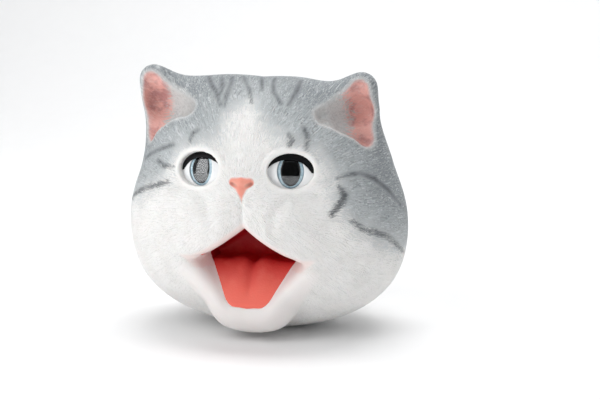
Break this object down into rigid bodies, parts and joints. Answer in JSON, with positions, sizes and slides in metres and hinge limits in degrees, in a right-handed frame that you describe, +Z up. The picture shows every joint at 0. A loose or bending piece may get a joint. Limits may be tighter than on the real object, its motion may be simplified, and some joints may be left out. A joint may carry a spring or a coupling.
{
  "type": "cat head hand puppet",
  "caption": "Hollow soft rubber cat-head hand puppet with a flexing jaw, inset glossy eyes and an open neck for the wearer's hand.",
  "frame": {"origin": "on the ground under the middle of the overall box", "axes": "+Z up, the face looks along -Y, +X towards the cat's left ear"},
  "size_m": [0.1629, 0.1168, 0.1507],
  "materials": {
    "coat": "soft painted rubber with moulded fur strokes, satin",
    "mouth_lining": "smooth dark red painted rubber, satin",
    "jaw_band": "smooth white painted rubber, satin",
    "tongue": "smooth coral red painted rubber, satin",
    "eye_white": "glossy white",
    "iris": "glossy pale blue",
    "pupil": "glossy black",
    "cornea": "clear polished acrylic",
    "eyeliner": "satin black",
    "washer": "natural moulded nylon, matte"
  },
  "bodies": {
    "head": {"head_skin": "coat", "palate_lining": "mouth_lining", "eye_white_left": "eye_white", "iris_left": "iris", "pupil_left": "pupil", "cornea_left": "cornea", "eyeliner_left": "eyeliner", "eye_washer_left": "washer", "eye_white_right": "eye_white", "iris_right": "iris", "pupil_right": "pupil", "cornea_right": "cornea", "eyeliner_right": "eyeliner", "eye_washer_right": "washer"},
    "jaw": {"jaw_skin": "jaw_band", "tongue": "tongue"}
  },
  "joints": [
    {"name": "jaw_flex", "type": "hinge", "parent": "head", "child": "jaw", "pos_m": [0, -0.0256, 0.044], "axis": [1, 0, 0], "range_deg": [-24, 8], "stiffness_Nm_per_rad": 0.5}
  ]
}
